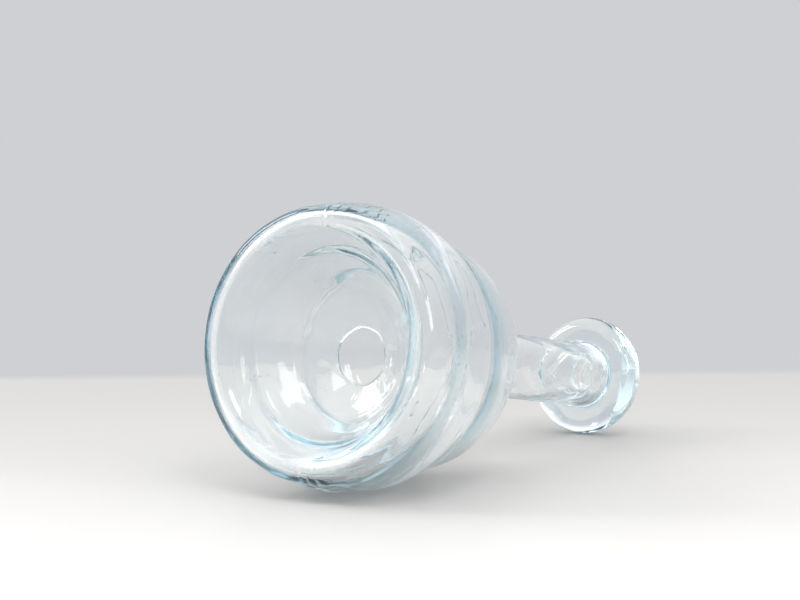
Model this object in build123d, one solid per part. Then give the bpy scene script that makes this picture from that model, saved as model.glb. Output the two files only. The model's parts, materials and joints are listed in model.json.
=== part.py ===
from build123d import *
from math import acos, asin, atan2, cos, degrees, pi, radians, sin, sqrt
import os

# Hanging wasp trap of clear glass, lying on its side.
# Each piece is drawn upright first: the trap's axis is +Z, heights count from the standing
# rim, and an outline is a list of (radius, height) points joined by lines and arcs.
# lay_down() then rests the whole trap on its side, with the mouth towards +X.

# ---- driving dimensions, mm ----
# outer wall
RIM_R = 42.0            # middle of the standing rim
RIM_FLAT = 1.6          # width of the ground flat on the rim
HEEL_R = 5.2            # rounding from the rim into the outer wall
BULGE_R = 50.0          # widest radius of the bell
BULGE_H = 23.0          # height of the widest circle
BULGE_ARC = 45.0        # profile radius above the widest circle
CROWN_R = 42.0          # radius of the upper, smaller bulge
CROWN_H = 55.5          # height of the upper bulge
CROWN_ARC = 33.0        # its profile radius
WAIST_ARC = 6.0         # hollow profile radius between the two bulges
SHOULDER_ARC = 38.0     # hollow profile radius from the crown into the neck
WALL = 3.2              # outer wall
# neck and lip
NECK_R = 11.8           # outer radius of the neck
NECK_WALL = 2.1         # the neck's own wall
NECK_TAPER = 3.2        # length over which the wall thins into the neck's own wall
NECK_SINK = 6.0         # how far below the mouth the neck tube ends, inside the lip ring
LIP_H = 182.2           # middle height of the lip ring
LIP_HALF = 6.8          # half its height
LIP_CORE_R = 17.0       # where the ring's flat ends turn into its round outside
LIP_BULGE = 5.2         # how far the round outside stands out beyond that
LIP_FOOT = 1.6          # hollow rounding where the ring meets the neck
MOUTH_FLARE = 3.8       # rounding of the bore into the mouth
# re-entrant funnel
BEAD_R = 4.4            # inner rounding of the standing rim
FLANK_ANGLE = 33.0      # slope of the funnel's flank, degrees from the axis
DOME_ARC = 18.0         # profile radius of the funnel's top, underside
DOME_H = 29.0           # height of the funnel's underside at the top
FUNNEL_WALL = 3.6       # funnel wall
HOLE_R = 9.6            # entrance hole
TROUGH_R = 2.6          # rounding of the gutter between funnel and outer wall
SEAM_H = 13.0           # height where the funnel piece meets the outer wall
# stopper
STOPPER_GAP = 0.15      # clearance all round between stopper and mouth
STOPPER_DEPTH = 17.0    # shank length below the start of the mouth's flare
STOPPER_WALL = 1.7      # glass thickness of the hollow shank
STOPPER_EDGE = 2.2      # rounding of the shank's end
COLLAR_TURN = 35.0      # degrees of the mouth's flare that the collar follows
COLLAR_EDGE = 1.0       # rounding of the collar
STEM_R = 5.0            # narrowest radius, between collar and knob
KNOB_ROUND = 3.4        # the knob's rim stands out by this and is twice as high
KNOB_H = 8.37           # height of the knob's top above the lip ring

BORE_R = NECK_R - NECK_WALL
MOUTH_H = LIP_H + LIP_HALF
NECK_TOP_H = MOUTH_H - NECK_SINK
MOUTH_R = BORE_R + MOUTH_FLARE


# ---- small geometry helpers, all in (radius, height) ----
def at(centre, radius, angle):
    return (centre[0] + radius * cos(angle), centre[1] + radius * sin(angle))


def bearing(centre, point):
    return atan2(point[1] - centre[1], point[0] - centre[0])


def line(p, q):
    return Line((p[0], 0, p[1]), (q[0], 0, q[1]))


def arc(centre, radius, start, end):
    p, m, q = (at(centre, radius, a) for a in (start, (start + end) / 2, end))
    return ThreePointArc((p[0], 0, p[1]), (m[0], 0, m[1]), (q[0], 0, q[1]))


def spin(edges):
    return revolve(make_face(Wire(edges)), axis=Axis.Z, revolution_arc=360)


def outer_fillet(centre_a, radius_a, centre_b, radius_b):
    """Centre at the given distances from two lower and upper centres, on the outer side."""
    dr, dh = centre_b[0] - centre_a[0], centre_b[1] - centre_a[1]
    gap = sqrt(dr * dr + dh * dh)
    along = (radius_a ** 2 - radius_b ** 2 + gap * gap) / (2 * gap)
    across = sqrt(radius_a ** 2 - along * along)
    return (centre_a[0] + (dr * along + dh * across) / gap,
            centre_a[1] + (dh * along - dr * across) / gap)


# ---- the outer wall's chain of tangent arcs ----
HEEL_C = (RIM_R + RIM_FLAT / 2, HEEL_R)


def lower_arc():
    """Arc from the heel to the widest circle, tangent to both: its centre and radius."""
    out, up = HEEL_C[0] - BULGE_R, BULGE_H - HEEL_R
    radius = (HEEL_R ** 2 - out * out - up * up) / (2 * (out + HEEL_R))
    return (BULGE_R - radius, BULGE_H), radius


LOWER_C, LOWER_ARC = lower_arc()
BULGE_C = (BULGE_R - BULGE_ARC, BULGE_H)
CROWN_C = (CROWN_R - CROWN_ARC, CROWN_H)
WAIST_C = outer_fillet(BULGE_C, BULGE_ARC + WAIST_ARC, CROWN_C, CROWN_ARC + WAIST_ARC)
SHOULDER_RUN = NECK_R + SHOULDER_ARC - CROWN_C[0]
SHOULDER_C = (NECK_R + SHOULDER_ARC,
              CROWN_H + sqrt((CROWN_ARC + SHOULDER_ARC) ** 2 - SHOULDER_RUN ** 2))


def bell_arcs(inset, start_h):
    """The bell's outline from start_h up to the neck, moved inwards by inset."""
    radius = LOWER_ARC - inset
    start = asin((start_h - LOWER_C[1]) / radius)
    to_waist = bearing(BULGE_C, WAIST_C)
    from_waist = bearing(CROWN_C, WAIST_C)
    to_neck = bearing(CROWN_C, SHOULDER_C)
    return [
        arc(LOWER_C, radius, start, 0),
        arc(BULGE_C, BULGE_ARC - inset, 0, to_waist),
        arc(WAIST_C, WAIST_ARC + inset, to_waist + pi, from_waist + pi),
        arc(CROWN_C, CROWN_ARC - inset, from_waist, to_neck),
        arc(SHOULDER_C, SHOULDER_ARC + inset, to_neck + pi, pi),
    ]


def wall_point(inset, height):
    """Point of the bell's lower arc at a height, moved inwards by inset."""
    radius = LOWER_ARC - inset
    return (LOWER_C[0] + sqrt(radius ** 2 - (height - LOWER_C[1]) ** 2), height)


# ---- the pieces ----
def bell_body():
    """Blown outer wall: two bulges, shoulder and neck, open at the seam and at the top."""
    outer = bell_arcs(0, SEAM_H)
    inner = bell_arcs(WALL, SEAM_H)
    neck_h = SHOULDER_C[1]
    inner_neck_r = NECK_R - WALL
    bore_h = neck_h + NECK_TAPER
    return spin(outer + inner + [
        line((NECK_R, neck_h), (NECK_R, NECK_TOP_H)),
        line((NECK_R, NECK_TOP_H), (BORE_R, NECK_TOP_H)),
        line((BORE_R, NECK_TOP_H), (BORE_R, bore_h)),
        line((BORE_R, bore_h), (inner_neck_r, neck_h)),
        line(wall_point(WALL, SEAM_H), wall_point(0, SEAM_H)),
    ])


def entrance_funnel():
    """Standing rim and the funnel pushed up inside it, with the entrance hole on top."""
    slope = radians(FLANK_ANGLE)
    bead_c = (RIM_R - RIM_FLAT / 2, BEAD_R)
    normal = (cos(slope), sin(slope))
    run = (-sin(slope), cos(slope))
    flank_start = at(bead_c, BEAD_R, slope + pi)
    dome_c_h = DOME_H - DOME_ARC
    climb = (dome_c_h + DOME_ARC * normal[1] - flank_start[1]) / run[1]
    flank_end = (flank_start[0] + climb * run[0], flank_start[1] + climb * run[1])
    dome_c = (flank_end[0] - DOME_ARC * normal[0], dome_c_h)

    half = FUNNEL_WALL / 2
    hole_c_r = HOLE_R + half
    hole_angle = acos((hole_c_r - dome_c[0]) / (DOME_ARC + half))
    hole_c = at(dome_c, DOME_ARC + half, hole_angle)

    # the gutter circle touches the flank's upper side and the wall's inner side
    offset = FUNNEL_WALL + TROUGH_R
    foot = (flank_start[0] + offset * normal[0] - LOWER_C[0],
            flank_start[1] + offset * normal[1] - LOWER_C[1])
    reach = LOWER_ARC - WALL - TROUGH_R
    half_b = foot[0] * run[0] + foot[1] * run[1]
    t = -half_b - sqrt(half_b ** 2 - (foot[0] ** 2 + foot[1] ** 2 - reach ** 2))
    gutter_c = (LOWER_C[0] + foot[0] + t * run[0], LOWER_C[1] + foot[1] + t * run[1])
    gutter_wall = bearing(LOWER_C, gutter_c)
    gutter_flank = at(gutter_c, TROUGH_R, slope + pi)
    upper_end = at(dome_c, DOME_ARC + FUNNEL_WALL, slope)

    heel_top = bearing(LOWER_C, HEEL_C)
    seam_out = asin((SEAM_H - LOWER_C[1]) / LOWER_ARC)
    seam_in = asin((SEAM_H - LOWER_C[1]) / (LOWER_ARC - WALL))
    return spin([
        arc(LOWER_C, LOWER_ARC, seam_out, heel_top),
        arc(HEEL_C, HEEL_R, heel_top, -pi / 2),
        line((HEEL_C[0], 0), (bead_c[0], 0)),
        arc(bead_c, BEAD_R, -pi / 2, slope - pi),
        line(flank_start, flank_end),
        arc(dome_c, DOME_ARC, slope, hole_angle),
        arc(hole_c, half, hole_angle + pi, hole_angle + 2 * pi),
        arc(dome_c, DOME_ARC + FUNNEL_WALL, hole_angle, slope),
        line(upper_end, gutter_flank),
        arc(gutter_c, TROUGH_R, slope - pi, gutter_wall),
        arc(LOWER_C, LOWER_ARC - WALL, gutter_wall, seam_in),
        line(wall_point(WALL, SEAM_H), wall_point(0, SEAM_H)),
    ])


def lip_ring():
    """Thick glass collar round the neck's end, with the flared mouth in it."""
    low, high = LIP_H - LIP_HALF, MOUTH_H
    flare_h = MOUTH_H - MOUTH_FLARE
    round_side = Plane.XZ * EllipticalCenterArc((LIP_CORE_R, LIP_H), LIP_BULGE, LIP_HALF,
                                                start_angle=-90, arc_size=180)
    foot_c = (NECK_R + LIP_FOOT, low - LIP_FOOT)
    return spin([
        arc(foot_c, LIP_FOOT, pi, pi / 2),
        line((NECK_R + LIP_FOOT, low), (LIP_CORE_R, low)),
        round_side,
        line((LIP_CORE_R, high), (MOUTH_R, high)),
        arc((MOUTH_R, flare_h), MOUTH_FLARE, pi / 2, pi),
        line((BORE_R, flare_h), (BORE_R, NECK_TOP_H)),
        line((BORE_R, NECK_TOP_H), (NECK_R, NECK_TOP_H)),
        line((NECK_R, NECK_TOP_H), (NECK_R, low - LIP_FOOT)),
    ])


def stopper():
    """Glass plug: hollow shank in the bore, collar in the mouth's flare, solid knob on top."""
    shank_r = BORE_R - STOPPER_GAP
    flare_c = (MOUTH_R, MOUTH_H - MOUTH_FLARE)
    flare = MOUTH_FLARE + STOPPER_GAP
    low = flare_c[1] - STOPPER_DEPTH
    end_c = (shank_r - STOPPER_EDGE, low + STOPPER_EDGE)
    collar = pi - radians(COLLAR_TURN)
    collar_c = at(flare_c, flare + COLLAR_EDGE, collar)
    collar_top = collar_c[1] + COLLAR_EDGE
    knob_c = (STEM_R, MOUTH_H + KNOB_H - KNOB_ROUND)
    knob_top = knob_c[1] + KNOB_ROUND
    solid = spin([
        line((0, low), (end_c[0], low)),
        arc(end_c, STOPPER_EDGE, -pi / 2, 0),
        line((shank_r, end_c[1]), (shank_r, flare_c[1])),
        arc(flare_c, flare, pi, collar),
        arc(collar_c, COLLAR_EDGE, collar - pi, pi / 2),
        line((collar_c[0], collar_top), (STEM_R, collar_top)),
        line((STEM_R, collar_top), (STEM_R, knob_c[1] - KNOB_ROUND)),
        arc(knob_c, KNOB_ROUND, -pi / 2, pi / 2),
        line((STEM_R, knob_top), (0, knob_top)),
        line((0, knob_top), (0, low)),
    ])
    hollow_r, hollow_low = shank_r - STOPPER_WALL, low + STOPPER_WALL
    rounding = STOPPER_EDGE - STOPPER_WALL / 2
    return solid - spin([
        line((0, hollow_low), (hollow_r - rounding, hollow_low)),
        arc((hollow_r - rounding, hollow_low + rounding), rounding, -pi / 2, 0),
        line((hollow_r, hollow_low + rounding), (hollow_r, flare_c[1] - rounding)),
        arc((hollow_r - rounding, flare_c[1] - rounding), rounding, 0, pi / 2),
        line((hollow_r - rounding, flare_c[1]), (0, flare_c[1])),
        line((0, flare_c[1]), (0, hollow_low)),
    ])


# ---- laying the trap on its side ----
def resting_tilt():
    """Angle by which the axis falls towards the mouth when bulge and lip ring both touch."""
    def overhang(tilt):
        c, s = cos(tilt), sin(tilt)
        bulge = BULGE_C[0] * c + BULGE_C[1] * s + BULGE_ARC
        lip = LIP_CORE_R * c + LIP_H * s + sqrt((LIP_BULGE * c) ** 2 + (LIP_HALF * s) ** 2)
        return bulge - lip
    low, high = 0.0, radians(45)
    for _ in range(60):
        middle = (low + high) / 2
        low, high = (middle, high) if overhang(middle) > 0 else (low, middle)
    return low


def lay_down(pieces):
    """Turn every piece onto its side, then put the origin under the middle of the trap."""
    tilt = degrees(resting_tilt())
    turned = {name: Rot(0, 90 + tilt, 0) * piece for name, piece in pieces.items()}
    box = Compound(list(turned.values())).bounding_box()
    shift = Pos(-(box.min.X + box.max.X) / 2, -(box.min.Y + box.max.Y) / 2, -box.min.Z)
    print("tilt", round(tilt, 4), "rim centre at", [round(v, 4) for v in shift.position])
    return {name: shift * piece for name, piece in turned.items()}


def main():
    os.makedirs("parts", exist_ok=True)
    pieces = {
        "bell_body": bell_body(),
        "entrance_funnel": entrance_funnel(),
        "lip_ring": lip_ring(),
        "stopper": stopper(),
    }
    for name, piece in lay_down(pieces).items():
        export_step(piece, f"parts/{name}.step")


main()
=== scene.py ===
"""Hanging wasp trap of clear aqua glass with its stopper, lying on its side on a pale table."""
import json
import math

import bpy
import numpy as np
from mathutils import Matrix, Vector


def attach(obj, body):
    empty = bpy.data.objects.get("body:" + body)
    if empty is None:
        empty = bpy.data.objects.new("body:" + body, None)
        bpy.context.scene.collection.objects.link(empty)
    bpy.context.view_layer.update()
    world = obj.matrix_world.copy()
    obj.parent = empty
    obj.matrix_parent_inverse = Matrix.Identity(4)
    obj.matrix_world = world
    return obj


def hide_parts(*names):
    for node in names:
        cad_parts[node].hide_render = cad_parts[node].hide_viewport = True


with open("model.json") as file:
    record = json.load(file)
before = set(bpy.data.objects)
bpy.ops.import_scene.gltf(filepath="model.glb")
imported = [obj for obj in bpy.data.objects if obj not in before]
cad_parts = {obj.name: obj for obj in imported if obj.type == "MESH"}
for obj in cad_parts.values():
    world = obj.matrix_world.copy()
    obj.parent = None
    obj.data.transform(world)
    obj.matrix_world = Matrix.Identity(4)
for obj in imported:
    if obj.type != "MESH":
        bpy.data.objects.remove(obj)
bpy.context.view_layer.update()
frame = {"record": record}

MM = 0.001

# ---- sizes, mm: radii from the trap's axis, heights from the standing rim ----
RIM_R, RIM_FLAT, HEEL_R, BEAD_R = 42.0, 1.6, 5.2, 4.4
BULGE_R, BULGE_H, BULGE_ARC = 50.0, 23.0, 45.0
CROWN_R, CROWN_H, CROWN_ARC = 42.0, 55.5, 33.0
WAIST_ARC, SHOULDER_ARC = 6.0, 38.0
WALL, NECK_R, NECK_WALL = 3.2, 11.8, 2.1
LIP_H, LIP_HALF, LIP_CORE_R, LIP_BULGE, LIP_FOOT = 182.2, 6.8, 17.0, 5.2, 1.6
MOUTH_FLARE = 3.8
FLANK_ANGLE = math.radians(33.0)
DOME_ARC, DOME_H, FUNNEL_WALL = 18.0, 29.0, 3.6
HOLE_R, TROUGH_R = 9.6, 2.6
STOPPER_GAP, STOPPER_DEPTH, STOPPER_WALL, STOPPER_EDGE = 0.15, 17.0, 1.7, 2.2
COLLAR_TURN, COLLAR_EDGE = math.radians(35.0), 1.0
STEM_R, KNOB_ROUND, KNOB_H = 5.0, 3.4, 8.37
BORE_R = NECK_R - NECK_WALL
MOUTH_H = LIP_H + LIP_HALF
MOUTH_R = BORE_R + MOUTH_FLARE

# ---- how the blown glass differs from its drawing, mm ----
SKIN = 0.25              # the outer skin lies this far inside the drawn one, for the seams
SEAM_RIDGE, SEAM_WIDTH = 0.24, 0.5
FUNNEL_LEAN = 2.4        # the funnel's top leans towards the table
THICKENED = {            # rings of extra wall: height, extra, half width
    "inside": ((24.0, 1.3, 8.0), (60.0, 1.4, 9.0)),
    "chamber": ((15.0, 1.5, 3.0),),
    "mouth": ((24.0, -0.8, 3.0),),
}
# turns is how many waves go round the axis, wave how long they are along the wall
SLOW_WAVES = dict(seed=5, terms=16, turns=(1, 6), wave=(26.0, 80.0))
FINE_WAVES = dict(seed=11, terms=30, turns=(5, 17), wave=(7.0, 15.0))
BUBBLES, BUBBLE_SEED = 36, 3
BUBBLE_R = (0.15, 0.5)   # smallest and largest
BUBBLE_SHAPE = (0.5, 1.0, 1.6)          # through the wall, round the axis, along the outline
BUBBLES_FROM_NECK = 2.0  # no bubbles within this distance of the neck's radius
BUBBLES_FACE = 0.3       # nor where less than this share of the wall's normal points outwards
BLISTER = (0.35, 3.2, 1.3)              # half sizes of one long flat blister in the rim
BLISTER_R, BLISTER_TURN = RIM_R - 1.5, math.radians(-105)
SKIN_SLACK = 0.02        # the stopper's skin lies this far inside the drawn one

# ---- mesh spacing, mm and radians ----
STEP, NECK_STEP, STEM_STEP = 1.9, 3.0, 0.8
TURN = math.radians(10)
VESSEL_AROUND, STOPPER_AROUND = 276, 128
SEAM_CROWDING = 0.75     # columns stand four times closer at the seams than without crowding
EASE_ROUNDS, EASE_PULL = 26, 0.5        # how the outline's corners are rounded off
BLEND_ROUNDS = 6         # how softly one stretch's waves turn into the next one's

# ---- where the trap lies: AXIS runs from rim to mouth, SIDE is level, UP square to both ----
rim = next(m for m in frame["record"]["mounts"] if m["name"] == "standing_rim")
AXIS = -np.array(rim["axis"], float)
SIDE = np.array([0.0, 1.0, 0.0])
UP = np.cross(AXIS, SIDE)
UP /= np.linalg.norm(UP)
RIM_CENTRE = np.array(rim["pos_m"], float) - RIM_R * MM * UP


# ---- outlines in (radius, height) ----
def at(centre, radius, angle):
    """The point of a circle at an angle."""
    return np.array([centre[0] + radius * math.cos(angle), centre[1] + radius * math.sin(angle)])


def bearing(centre, point):
    """The angle at which a point is seen from a centre."""
    return math.atan2(point[1] - centre[1], point[0] - centre[0])


def arc(centre, radius, start, end, tall=1.0):
    """Points of an arc, at most STEP apart and TURN round; tall stretches it along the axis."""
    turn = abs(end - start)
    count = max(2, math.ceil(turn / TURN), math.ceil(turn * radius / STEP))
    angle = np.linspace(start, end, count + 1)
    return np.stack([centre[0] + radius * np.cos(angle),
                     centre[1] + radius * tall * np.sin(angle)], 1)


def run(p, q, step=STEP):
    """Points of a straight line from p to q."""
    p, q = np.array(p, float), np.array(q, float)
    count = max(1, math.ceil(np.linalg.norm(q - p) / step))
    return p + (q - p) * np.linspace(0, 1, count + 1)[:, None]


def outer_fillet(a, radius_a, b, radius_b):
    """Centre at the given distances from two centres, on the side away from the axis."""
    dr, dh = b[0] - a[0], b[1] - a[1]
    gap = math.hypot(dr, dh)
    along = (radius_a ** 2 - radius_b ** 2 + gap ** 2) / (2 * gap)
    across = math.sqrt(radius_a ** 2 - along ** 2)
    return (a[0] + (dr * along + dh * across) / gap, a[1] + (dh * along - dr * across) / gap)


# The lower arc touches the heel's rounding and meets the bulge at its widest; the waist's
# rounding touches bulge and crown, and the shoulder's touches crown and neck.
HEEL_C = (RIM_R + RIM_FLAT / 2, HEEL_R)
HEEL_OUT, HEEL_UP = HEEL_C[0] - BULGE_R, BULGE_H - HEEL_R
LOWER_ARC = (HEEL_R ** 2 - HEEL_OUT ** 2 - HEEL_UP ** 2) / (2 * (HEEL_OUT + HEEL_R))
LOWER_C = (BULGE_R - LOWER_ARC, BULGE_H)
BULGE_C = (BULGE_R - BULGE_ARC, BULGE_H)
CROWN_C = (CROWN_R - CROWN_ARC, CROWN_H)
WAIST_C = outer_fillet(BULGE_C, BULGE_ARC + WAIST_ARC, CROWN_C, CROWN_ARC + WAIST_ARC)
SHOULDER_RUN = NECK_R + SHOULDER_ARC - CROWN_C[0]
SHOULDER_C = (NECK_R + SHOULDER_ARC,
              CROWN_H + math.sqrt((CROWN_ARC + SHOULDER_ARC) ** 2 - SHOULDER_RUN ** 2))


def bell(inset, start):
    """The bell's outline from an angle on its lower arc up to the neck, moved in by inset."""
    to_waist, from_waist = bearing(BULGE_C, WAIST_C), bearing(CROWN_C, WAIST_C)
    to_neck = bearing(CROWN_C, SHOULDER_C)
    return [
        arc(LOWER_C, LOWER_ARC - inset, start, 0),
        arc(BULGE_C, BULGE_ARC - inset, 0, to_waist),
        arc(WAIST_C, WAIST_ARC + inset, to_waist + math.pi, from_waist + math.pi),
        arc(CROWN_C, CROWN_ARC - inset, from_waist, to_neck),
        arc(SHOULDER_C, SHOULDER_ARC + inset, to_neck + math.pi, math.pi),
    ]


def vessel_stretches():
    """The fused glass in order round its section: outer wall, lip, bore, inner wall, funnel.

    Each stretch is its outline points and how the blown surface differs there: slow and fine
    are the heights of its waves in mm, seam and lean switch the seams and the funnel's lean on,
    ease is how much its corners are rounded off, and the rest names its thick rings."""
    heel_top = bearing(LOWER_C, HEEL_C)
    bead_c = (RIM_R - RIM_FLAT / 2, BEAD_R)
    # the funnel's flank is a straight line that touches the rim's bead and the dome
    normal = np.array([math.cos(FLANK_ANGLE), math.sin(FLANK_ANGLE)])
    along = np.array([-math.sin(FLANK_ANGLE), math.cos(FLANK_ANGLE)])
    flank_start = at(bead_c, BEAD_R, FLANK_ANGLE + math.pi)
    dome_c_h = DOME_H - DOME_ARC
    flank_end = flank_start + along * (dome_c_h + DOME_ARC * normal[1] - flank_start[1]) / along[1]
    dome_c = (flank_end[0] - DOME_ARC * normal[0], dome_c_h)
    # the entrance hole's edge is half round, as thick as the funnel's wall
    half = FUNNEL_WALL / 2
    hole_angle = math.acos((HOLE_R + half - dome_c[0]) / (DOME_ARC + half))
    hole_c = at(dome_c, DOME_ARC + half, hole_angle)
    # the gutter's rounding touches the back of the flank and the inside of the bell
    foot = flank_start + (FUNNEL_WALL + TROUGH_R) * normal - np.array(LOWER_C)
    reach = LOWER_ARC - WALL - TROUGH_R
    dot = foot @ along
    climb = -dot - math.sqrt(dot ** 2 - foot @ foot + reach ** 2)
    gutter_c = np.array(LOWER_C) + foot + along * climb
    gutter_wall = bearing(LOWER_C, gutter_c)
    gutter_end = at(gutter_c, TROUGH_R, FLANK_ANGLE - math.pi)
    dome_foot = at(dome_c, DOME_ARC + FUNNEL_WALL, FLANK_ANGLE)
    low, flare_h, neck_h = LIP_H - LIP_HALF, MOUTH_H - MOUTH_FLARE, SHOULDER_C[1]
    foot_c = (NECK_R + LIP_FOOT, low - LIP_FOOT)

    outer = dict(slow=0.05, seam=1.0, ease=0.3)
    lip = dict(slow=0.06, fine=0.02)
    inner = dict(slow=0.14, fine=0.012, ease=1.0, inside=1.0)
    chamber = dict(slow=0.11, fine=0.018, ease=1.0, lean=1.0, chamber=1.0)
    mouth = dict(slow=0.11, fine=0.018, ease=1.0, lean=1.0, mouth=1.0)
    edge = dict(slow=0.05, fine=0.02)
    return [
        (arc(HEEL_C, HEEL_R, -math.pi / 2, heel_top), {**edge, "seam": 1.0}),
        *[(part, outer) for part in bell(0, heel_top)],
        (run((NECK_R, neck_h), (NECK_R, foot_c[1]), NECK_STEP), {**outer, "slow": 0.08}),
        (arc(foot_c, LIP_FOOT, math.pi, math.pi / 2), lip),
        (run((foot_c[0], low), (LIP_CORE_R, low)), lip),
        (arc((LIP_CORE_R, LIP_H), LIP_BULGE, -math.pi / 2, math.pi / 2, LIP_HALF / LIP_BULGE), lip),
        (run((LIP_CORE_R, MOUTH_H), (MOUTH_R, MOUTH_H)), edge),
        (arc((MOUTH_R, flare_h), MOUTH_FLARE, math.pi / 2, math.pi), edge),
        (run((BORE_R, flare_h), (BORE_R, neck_h), NECK_STEP), {**lip, "slow": 0.07}),
        (run((BORE_R, neck_h), (NECK_R - WALL, neck_h)), {**inner, "slow": 0.12}),
        *[(part[::-1], inner) for part in bell(WALL, gutter_wall)[::-1]],
        (arc(gutter_c, TROUGH_R, gutter_wall, FLANK_ANGLE - math.pi), {**edge, "ease": 0.3}),
        (run(gutter_end, dome_foot), chamber),
        (arc(dome_c, DOME_ARC + FUNNEL_WALL, FLANK_ANGLE, hole_angle), chamber),
        (arc(hole_c, half, hole_angle, hole_angle + math.pi), {**edge, "slow": 0.22, "lean": 1.0}),
        (arc(dome_c, DOME_ARC, hole_angle, FLANK_ANGLE), mouth),
        (run(flank_end, flank_start), {**mouth, "slow": 0.08}),
        (arc(bead_c, BEAD_R, FLANK_ANGLE + math.pi, 3 * math.pi / 2), edge),
        (run((bead_c[0], 0), (HEEL_C[0], 0)), edge),
    ]


def neighbours(values):
    """Mean of the values before and after each one, round a closed outline."""
    return (np.roll(values, 1, 0) + np.roll(values, -1, 0)) / 2


def relaxed(outline, weight):
    """Each point p moves, round after round, by pull * weight * (mean of its neighbours - p)."""
    for _ in range(EASE_ROUNDS):
        outline = outline + EASE_PULL * weight[:, None] * (neighbours(outline) - outline)
    return outline


def waves(s, length, a, seed, terms, turns, wave):
    """Sum of 2 cos(2 pi k s / L + p) * cos(m a + q) / sqrt(terms), k and m whole numbers.

    s is the distance along the closed outline of length L, a the angle round the axis; L / k is
    drawn from wave and m from turns."""
    draw = np.random.default_rng(seed)
    total = np.zeros((len(s), len(a)))
    for _ in range(terms):
        k = round(length / draw.uniform(*wave))
        m = draw.integers(turns[0], turns[1] + 1)
        p, q = draw.uniform(0, 2 * math.pi, 2)
        total += np.outer(np.cos(2 * math.pi * k * s / length + p), np.cos(m * a + q))
    return total * 2 / math.sqrt(terms)


def columns():
    """Angles round the axis, crowded at 0 and pi: a = u - crowding / 2 * sin(2 u)."""
    u = np.linspace(0, 2 * math.pi, VESSEL_AROUND, endpoint=False)
    return u - SEAM_CROWDING / 2 * np.sin(2 * u)


def place(r, h, a):
    """Rim centre + h along the axis + r (cos a up + sin a sideways); mm in, metres out."""
    r, h, a = r[..., None] * MM, h[..., None] * MM, a[..., None]
    return RIM_CENTRE + h * AXIS + r * (np.cos(a) * UP + np.sin(a) * SIDE)


def smoothstep(x):
    """0 up to x = 0, then x squared * (3 - 2 x), and 1 from x = 1."""
    x = np.clip(x, 0, 1)
    return x * x * (3 - 2 * x)


def vessel_surface():
    """The outline turned round the axis, each point then moved along the outline's normal by d.

    d = -skin + seam ridge + slow waves + fine waves + thick rings of the inner wall;
    the ridge is a bell curve of the distance to the nearer seam, a ring one of the height.
    The funnel's top then slides down by its lean, more the higher it is."""
    stretches = vessel_stretches()
    outline = np.concatenate([points[:-1] for points, _ in stretches])

    def along(key):
        """One of the stretches' values at every point of the outline, blended at the joins."""
        values = np.concatenate([np.full(len(points) - 1, how.get(key, 0.0))
                                 for points, how in stretches])
        for _ in range(BLEND_ROUNDS):
            values = (values + neighbours(values)) / 2
        return values

    outline = relaxed(outline, along("ease"))
    ahead = np.roll(outline, -1, 0) - outline
    s = np.concatenate([[0], np.cumsum(np.linalg.norm(ahead, axis=1))])
    length, s = s[-1], s[:-1]
    tangent = np.roll(outline, -1, 0) - np.roll(outline, 1, 0)
    tangent /= np.linalg.norm(tangent, axis=1)[:, None]
    normal = np.stack([tangent[:, 1], -tangent[:, 0]], 1)
    a = columns()
    r, h = outline[:, :1], outline[:, 1:]
    off_seam = r * np.abs((a + math.pi / 2) % math.pi - math.pi / 2)
    ridge = SEAM_RIDGE * np.exp(-(off_seam / SEAM_WIDTH) ** 2)
    rings = sum(along(side)[:, None] * extra * np.exp(-((h - middle) / wide) ** 2)
                for side, listed in THICKENED.items() for middle, extra, wide in listed)
    slow, fine = waves(s, length, a, **SLOW_WAVES), waves(s, length, a, **FINE_WAVES)
    d = (-SKIN + along("seam")[:, None] * ridge + rings
         + along("slow")[:, None] * slow + along("fine")[:, None] * fine)
    lean = FUNNEL_LEAN * along("lean")[:, None] * smoothstep(h / DOME_H)
    points = place(r + normal[:, :1] * d, h + normal[:, 1:] * d, a + 0 * r)
    return points - lean[..., None] * MM * UP, outline, normal


def closed_grid(rows, cols):
    """Triangles of a grid that closes both ways, like a tyre."""
    i, j = np.arange(rows)[:, None], np.arange(cols)[None, :]
    i2, j2 = (i + 1) % rows, (j + 1) % cols
    a, b, c, d = i * cols + j, i2 * cols + j, i2 * cols + j2, i * cols + j2
    return np.concatenate([np.stack([a, b, c], -1), np.stack([a, c, d], -1)]).reshape(-1, 3)


def capped_grid(rows, cols):
    """Triangles of a grid of rows rings, open along its rows, with a pole point at each end."""
    i, j = np.arange(rows - 1)[:, None], np.arange(cols)[None, :]
    j2 = (j + 1) % cols
    a, b, c, d = i * cols + j, (i + 1) * cols + j, (i + 1) * cols + j2, i * cols + j2
    body = np.concatenate([np.stack([a, b, c], -1), np.stack([a, c, d], -1)]).reshape(-1, 3)
    first, last = rows * cols, rows * cols + 1
    k, k2 = np.arange(cols), (np.arange(cols) + 1) % cols
    start = np.stack([np.full(cols, first), k, k2], -1)
    top = (rows - 1) * cols
    end = np.stack([np.full(cols, last), top + k2, top + k], -1)
    return np.concatenate([body, start, end])


def make_piece(name, shells, material):
    """A smooth-shaded mesh object from shells of (points in metres, triangles)."""
    points, faces, count = [], [], 0
    for shell_points, shell_faces in shells:
        shell_points = shell_points.reshape(-1, 3)
        points.append(shell_points)
        faces.append(shell_faces + count)
        count += len(shell_points)
    mesh = bpy.data.meshes.new(name)
    mesh.from_pydata(np.concatenate(points).tolist(), [], np.concatenate(faces).tolist())
    mesh.polygons.foreach_set("use_smooth", np.ones(len(mesh.polygons), bool))
    mesh.materials.append(material)
    mesh.update()
    piece = bpy.data.objects.new(name, mesh)
    bpy.context.collection.objects.link(piece)
    return piece


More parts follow.
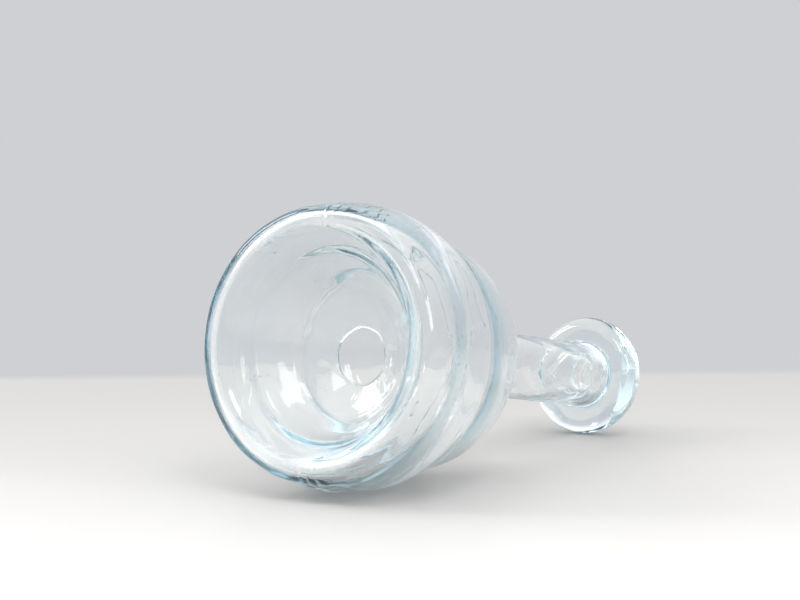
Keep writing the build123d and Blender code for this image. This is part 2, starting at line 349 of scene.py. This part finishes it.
# ---- bubbles ----
def ball(rings=5, cols=8):
    """Unit sphere (sin t cos a, sin t sin a, cos t): rings of one tilt t between two poles."""
    tilt = np.linspace(0, math.pi, rings + 2)[1:-1, None]
    a = np.linspace(0, 2 * math.pi, cols, endpoint=False)[None, :]
    points = np.stack([np.sin(tilt) * np.cos(a), np.sin(tilt) * np.sin(a),
                       np.cos(tilt) + 0 * a], -1).reshape(-1, 3)
    return np.concatenate([points, [[0, 0, 1], [0, 0, -1]]]), capped_grid(rings, cols)


def bubble_shells(outline, normal):
    """Gas bubbles halfway through the wall, and the blister in the middle of the rim's bead.

    They are balls of a drawn radius, times the bubbles' shape, at drawn places on the wall."""
    draw = np.random.default_rng(BUBBLE_SEED)
    unit, faces = ball()
    walls = np.flatnonzero((outline[:, 0] > NECK_R + BUBBLES_FROM_NECK)
                           & (normal[:, 0] > BUBBLES_FACE)
                           & (outline[:, 1] > HEEL_R) & (outline[:, 1] < LIP_H - 2 * LIP_HALF))
    rows = draw.choice(walls, BUBBLES)
    angles = draw.uniform(0, 2 * math.pi, BUBBLES)
    radii = draw.uniform(*BUBBLE_R, BUBBLES)
    shells = [bubble(outline[row], normal[row], angle, WALL / 2, radius * np.array(BUBBLE_SHAPE),
                     unit, faces)
              for row, angle, radius in zip(rows, angles, radii)]
    shells.append(bubble((BLISTER_R, 0.0), (0.0, -1.0), BLISTER_TURN, BEAD_R, BLISTER,
                         unit, faces))
    return shells


def bubble(point, normal, angle, depth, size, unit, faces):
    """A hollow: the unit ball * size + outline point - depth * normal, turned to the angle.

    size is along the normal, round the axis and along the outline; the faces look inwards."""
    outwards = math.cos(angle) * UP + math.sin(angle) * SIDE
    n = normal[0] * outwards + normal[1] * AXIS
    around = -math.sin(angle) * UP + math.cos(angle) * SIDE
    meridian = np.cross(n, around)
    centre = RIM_CENTRE + MM * (point[0] * outwards + point[1] * AXIS - depth * n)
    points = centre + MM * (unit * size) @ np.stack([n, around, meridian])
    return points, faces[:, ::-1]


# ---- materials ----
def colour(hex_code):
    """sRGB hex to linear RGBA: a straight line near black, then a power curve."""
    parts = [int(hex_code[i:i + 2], 16) / 255 for i in (1, 3, 5)]
    return [c / 12.92 if c <= 0.04045 else ((c + 0.055) / 1.055) ** 2.4 for c in parts] + [1.0]


def add(tree, kind, settings=None, links=None):
    """Adds a node; settings are attributes or inputs, links go from outputs into inputs.

    A Mix node's inputs go by number: 0 is the factor, 2 and 3 two numbers, 6 and 7 two colours."""
    node = tree.nodes.new(kind)
    for key, value in (settings or {}).items():
        if isinstance(key, str) and hasattr(node, key):
            setattr(node, key, value)
        else:
            node.inputs[key].default_value = value
    for key, source in (links or {}).items():
        tree.links.new(source, node.inputs[key])
    return node


GLASS_IOR = 1.5
BLOOM_PATCH = 18.0                         # mm across a patch of bloom
BLOOM_CLEAR, SMEAR_ROUGH = 0.98, 0.05      # how clear and how rough the thickest bloom is
GROUND_CLEAR, GROUND_ROUGH = 0.6, 0.4      # how clear and how rough the rim's ground flat is
GROUND_FULL, GROUND_END = 0.1, 0.5         # mm above the flat: frosted up to, and clear from
DIMPLE_WIDE, DIMPLE_DEEP, DIMPLE_STRENGTH = 5.0, 0.05, 0.25     # mm, mm, share


def blown_glass(name, tint, density):
    """Soda-lime glass, blown into a mould, so that it is mirror smooth and faintly dimpled.

    It has a thin dusty bloom in patches, a frosted flat where the rim is ground, and a tint in
    the thick parts, because iron in the melt absorbs red light on its way through."""
    material = bpy.data.materials.new(name)
    material.use_nodes = True
    tree = material.node_tree
    shader = tree.nodes["Principled BSDF"]
    shader.inputs["IOR"].default_value = GLASS_IOR
    shader.inputs["Base Color"].default_value = colour("#ffffff")
    place_at = add(tree, "ShaderNodeTexCoord").outputs["Object"]
    cloud = add(tree, "ShaderNodeTexNoise", {"Scale": 1 / (BLOOM_PATCH * MM), "Detail": 4.0},
                {"Vector": place_at})
    bloom = add(tree, "ShaderNodeMapRange",
                {"From Min": 0.35, "From Max": 0.75, "To Min": 1.0, "To Max": BLOOM_CLEAR},
                {"Value": cloud.outputs["Fac"]})
    height = add(tree, "ShaderNodeVectorMath", {"operation": "DOT_PRODUCT", 1: tuple(AXIS)},
                 {0: place_at}).outputs["Value"]
    foot = float(RIM_CENTRE @ AXIS)
    ground = add(tree, "ShaderNodeMapRange",
                 {"From Min": foot + GROUND_END * MM, "From Max": foot + GROUND_FULL * MM},
                 {"Value": height})
    clarity = add(tree, "ShaderNodeMix", {"data_type": "FLOAT", 3: GROUND_CLEAR},
                  {0: ground.outputs[0], 2: bloom.outputs[0]})
    tree.links.new(clarity.outputs[0], shader.inputs["Transmission Weight"])
    smear = add(tree, "ShaderNodeMapRange",
                {"From Min": 0.4, "From Max": 0.8, "To Min": 0.0, "To Max": SMEAR_ROUGH},
                {"Value": cloud.outputs["Fac"]})
    frosted = add(tree, "ShaderNodeMix", {"data_type": "FLOAT", 3: GROUND_ROUGH},
                  {0: ground.outputs[0], 2: smear.outputs[0]})
    tree.links.new(frosted.outputs[0], shader.inputs["Roughness"])
    dimple = add(tree, "ShaderNodeTexNoise", {"Scale": 1 / (DIMPLE_WIDE * MM), "Detail": 2.0},
                 {"Vector": place_at})
    bump = add(tree, "ShaderNodeBump",
               {"Strength": DIMPLE_STRENGTH, "Distance": DIMPLE_DEEP * MM},
               {"Height": dimple.outputs["Fac"]})
    tree.links.new(bump.outputs[0], shader.inputs["Normal"])
    absorb = add(tree, "ShaderNodeVolumeAbsorption", {"Color": colour(tint), "Density": density})
    tree.links.new(absorb.outputs[0], tree.nodes["Material Output"].inputs["Volume"])
    return material


AQUA_DENSITY, CLEAR_DENSITY = 12.0, 6.0    # how fast the tint deepens, per metre of glass
aqua_glass = blown_glass("aqua_blown_glass", "#7cd6ea", AQUA_DENSITY)
clear_glass = blown_glass("clear_blown_glass", "#b4e6ee", CLEAR_DENSITY)


# ---- the vessel ----
points, outline, normal = vessel_surface()
glass = (points, closed_grid(len(outline), VESSEL_AROUND))
vessel = make_piece("glass_vessel", [glass, *bubble_shells(outline, normal)], aqua_glass)
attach(vessel, "vessel")
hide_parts("bell_body", "entrance_funnel", "lip_ring")


# ---- the stopper ----
def stopper_outlines():
    """Outlines from axis to axis of the plug, shank first, and of the hollow in its shank."""
    shank_r = BORE_R - STOPPER_GAP - SKIN_SLACK
    flare_c = (MOUTH_R, MOUTH_H - MOUTH_FLARE)
    flare = MOUTH_FLARE + STOPPER_GAP + SKIN_SLACK
    low = flare_c[1] - STOPPER_DEPTH
    end_c = (shank_r - STOPPER_EDGE, low + STOPPER_EDGE)
    collar = math.pi - COLLAR_TURN
    collar_c = at(flare_c, flare + COLLAR_EDGE, collar)
    collar_top = collar_c[1] + COLLAR_EDGE
    knob_c = (STEM_R, MOUTH_H + KNOB_H - KNOB_ROUND - SKIN_SLACK)
    hollow_r, hollow_low = shank_r - STOPPER_WALL, low + STOPPER_WALL
    rounding = STOPPER_EDGE - STOPPER_WALL / 2
    plug = [
        run((0, low), (end_c[0], low)),
        arc(end_c, STOPPER_EDGE, -math.pi / 2, 0),
        run((shank_r, end_c[1]), (shank_r, flare_c[1])),
        arc(flare_c, flare, math.pi, collar),
        arc(collar_c, COLLAR_EDGE, collar - math.pi, math.pi / 2),
        run((collar_c[0], collar_top), (STEM_R, collar_top), STEM_STEP),
        run((STEM_R, collar_top), (STEM_R, knob_c[1] - KNOB_ROUND), STEM_STEP),
        arc(knob_c, KNOB_ROUND, -math.pi / 2, math.pi / 2),
        run((STEM_R, knob_c[1] + KNOB_ROUND), (0, knob_c[1] + KNOB_ROUND)),
    ]
    hollow = [
        run((0, hollow_low), (hollow_r - rounding, hollow_low)),
        arc((hollow_r - rounding, hollow_low + rounding), rounding, -math.pi / 2, 0),
        run((hollow_r, hollow_low + rounding), (hollow_r, flare_c[1] - rounding)),
        arc((hollow_r - rounding, flare_c[1] - rounding), rounding, 0, math.pi / 2),
        run((hollow_r - rounding, flare_c[1]), (0, flare_c[1])),
    ]
    return [np.concatenate([part[:-1] for part in parts] + [parts[-1][-1:]])
            for parts in (plug, hollow)]


def turned_shell(outline):
    """The outline turned round the axis, with one point at each pole."""
    a = np.linspace(0, 2 * math.pi, STOPPER_AROUND, endpoint=False)
    rings = outline[1:-1]
    points = place(rings[:, :1] + 0 * a, rings[:, 1:] + 0 * a, a + 0 * rings[:, :1])
    poles = place(outline[[0, -1], 0], outline[[0, -1], 1], np.zeros(2))
    return np.concatenate([points.reshape(-1, 3), poles]), capped_grid(len(rings), len(a))


skin, hollow = [turned_shell(outline) for outline in stopper_outlines()]
stopper = make_piece("glass_stopper", [skin, (hollow[0], hollow[1][:, ::-1])], clear_glass)
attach(stopper, "stopper")
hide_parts("stopper")

# ---- camera ----
CAM_TURN, CAM_RISE = math.radians(34.26), math.radians(6.85)
CAM_RIGHT, CAM_ABOVE, CAM_BACK = 0.02990, 0.01454, 1.1816      # metres from the rim's centre
SENSOR, LENS, CLIP = 36.0, 157.5, 0.01      # mm, mm, metres
overhead = np.array([0.0, 0.0, 1.0])
ahead = np.array([math.cos(CAM_TURN), math.sin(CAM_TURN), 0])
look = math.cos(CAM_RISE) * ahead - math.sin(CAM_RISE) * overhead
right = np.array([math.sin(CAM_TURN), -math.cos(CAM_TURN), 0.0])
above = np.cross(right, look)
eye = RIM_CENTRE + CAM_RIGHT * right + CAM_ABOVE * above - CAM_BACK * look
camera = bpy.data.objects.new("camera", bpy.data.cameras.new("camera"))
bpy.context.collection.objects.link(camera)
camera.data.sensor_width, camera.data.lens = SENSOR, LENS
camera.data.clip_start = CLIP
camera.matrix_world = Matrix([[*row, spot] for row, spot in
                              zip(np.column_stack([right, above, -look]), eye)] + [[0, 0, 0, 1]])
bpy.context.scene.camera = camera

# ---- the table, metres: one sheet, painted up to the table's edge with painted shade on its last stretch, then as grey as a wall ----
TABLE_EDGE = 1.474       # metres from the camera to the table's far edge
EDGE_TURN = math.radians(3.0)
EDGE_SOFT = 0.012        # half the width over which paint turns into wall
PAINTED_SHADE_STRETCH = 0.5          # the last stretch before the edge, where the paint colour is darkened as painted shade
SHEET = 12.0             # half the sheet's side
PAINT_GRAIN = 60.0       # mm, drawn coarser than brush marks are, so that it shows
WALL_GREY = colour("#cfd0d3")
edge_normal = math.cos(EDGE_TURN) * ahead - math.sin(EDGE_TURN) * right


def painted_table():
    """White painted wood, sanded and satin: a broad soft gloss, uneven where it was brushed. Its
    colour darkens towards the far edge as painted shade.
    """
    material = bpy.data.materials.new("white_satin_paint")
    material.use_nodes = True
    tree = material.node_tree
    shader = tree.nodes["Principled BSDF"]
    place_at = add(tree, "ShaderNodeTexCoord").outputs["Object"]
    depth = add(tree, "ShaderNodeVectorMath", {"operation": "DOT_PRODUCT", 1: tuple(edge_normal)},
                {0: place_at}).outputs["Value"]
    edge = float((eye + TABLE_EDGE * ahead) @ edge_normal)
    # painted shade: the paint colour darkens from #cfcecc to #a9a8a6 over the last stretch before
    # the edge
    painted_shade_fade = add(tree, "ShaderNodeMapRange",
               {"interpolation_type": "SMOOTHSTEP", "From Min": edge - PAINTED_SHADE_STRETCH, "From Max": edge},
               {"Value": depth})
    paint_with_painted_shade = add(tree, "ShaderNodeMix",
               {"data_type": "RGBA", 6: colour("#cfcecc"), 7: colour("#a9a8a6")},
               {0: painted_shade_fade.outputs[0]})
    grain = add(tree, "ShaderNodeTexNoise", {"Scale": 1 / (PAINT_GRAIN * MM), "Detail": 3.0},
                {"Vector": place_at})
    satin = add(tree, "ShaderNodeMapRange", {"To Min": 0.42, "To Max": 0.6},
                {"Value": grain.outputs["Fac"]})
    tree.links.new(paint_with_painted_shade.outputs[2], shader.inputs["Base Color"])
    tree.links.new(satin.outputs[0], shader.inputs["Roughness"])
    wall = add(tree, "ShaderNodeEmission", {"Color": WALL_GREY, "Strength": 1.0})
    beyond = add(tree, "ShaderNodeMapRange",
                 {"interpolation_type": "SMOOTHSTEP", "From Min": edge - EDGE_SOFT,
                  "From Max": edge + EDGE_SOFT}, {"Value": depth})
    both = add(tree, "ShaderNodeMixShader", None,
               {0: beyond.outputs[0], 1: shader.outputs[0], 2: wall.outputs[0]})
    tree.links.new(both.outputs[0], tree.nodes["Material Output"].inputs["Surface"])
    return material


sheet = bpy.data.meshes.new("table")
sheet.from_pydata([(-SHEET, -SHEET, 0), (SHEET, -SHEET, 0), (SHEET, SHEET, 0), (-SHEET, SHEET, 0)],
                  [], [(0, 1, 2, 3)])
sheet.materials.append(painted_table())
table = bpy.data.objects.new("table", sheet)
bpy.context.collection.objects.link(table)

# ---- the room's light, in linear brightness: 1 is plain white ----
OVERHEAD_WHITE = (1.4, 1.4, 1.4, 1)
CAMERA_SIDE_HIGH = (1.05, 1.05, 1.05, 1)
CAMERA_SIDE_LOW = (0.75, 0.76, 0.77, 1)
world = bpy.data.worlds.new("room")
bpy.context.scene.world = world
world.use_nodes = True
room = world.node_tree
direction = add(room, "ShaderNodeTexCoord").outputs["Generated"]
behind = add(room, "ShaderNodeVectorMath", {"operation": "DOT_PRODUCT", 1: tuple(-ahead)},
             {0: direction})
upward = add(room, "ShaderNodeSeparateXYZ", None, {0: direction}).outputs["Z"]
high = add(room, "ShaderNodeMapRange",
           {"interpolation_type": "SMOOTHSTEP", "From Min": 0.15, "From Max": 0.6},
           {"Value": upward})
near = add(room, "ShaderNodeMapRange",
           {"interpolation_type": "SMOOTHSTEP", "From Min": -0.5, "From Max": 0.4},
           {"Value": behind.outputs["Value"]})
low = add(room, "ShaderNodeMapRange",
          {"interpolation_type": "SMOOTHSTEP", "From Min": 0.05, "From Max": 0.3},
          {"Value": upward})
camera_side = add(room, "ShaderNodeMix",
                  {"data_type": "RGBA", 6: CAMERA_SIDE_LOW, 7: CAMERA_SIDE_HIGH},
                  {0: low.outputs[0]})
walls = add(room, "ShaderNodeMix", {"data_type": "RGBA", 6: WALL_GREY},
            {0: near.outputs[0], 7: camera_side.outputs[2]})
shell = add(room, "ShaderNodeMix", {"data_type": "RGBA", 7: OVERHEAD_WHITE},
            {0: high.outputs[0], 6: walls.outputs[2]})
room.links.new(shell.outputs[2], room.nodes["Background"].inputs["Color"])

# metres to the right of the trap, beyond it and above it, width, height in metres, watts
WINDOWS = {
    "window_left": (-1.5, 0.1, 0.95, 0.45, 0.75, 8.0),
    "window_left_far": (-1.3, 0.85, 0.95, 0.45, 0.75, 6.0),
    "window_right": (1.2, -0.7, 0.75, 0.35, 0.6, 4.0),
    "ceiling": (0.35, -0.9, 1.5, 0.6, 0.6, 6.0),
}
MIDDLE = Vector((0, 0, 0.05))              # the middle of the trap, metres


def window(name, where, width, height, power):
    """A rectangular area light that faces the trap."""
    light = bpy.data.lights.new(name, "AREA")
    light.shape, light.size, light.size_y, light.energy = "RECTANGLE", width, height, power
    lamp = bpy.data.objects.new(name, light)
    bpy.context.collection.objects.link(lamp)
    lamp.location = Vector(where)
    lamp.rotation_euler = (MIDDLE - lamp.location).to_track_quat("-Z", "Y").to_euler()


for name, (aside, beyond, high_up, width, height, power) in WINDOWS.items():
    window(name, aside * right + beyond * ahead + high_up * overhead, width, height, power)

# ---- how far light is followed through the glass ----
GLASS_BOUNCES, GLOSSY_BOUNCES = 40, 24
bpy.context.scene.view_settings.view_transform = "Standard"
cycles = bpy.context.scene.cycles
cycles.max_bounces = cycles.transmission_bounces = cycles.transparent_max_bounces = GLASS_BOUNCES
cycles.glossy_bounces = GLOSSY_BOUNCES
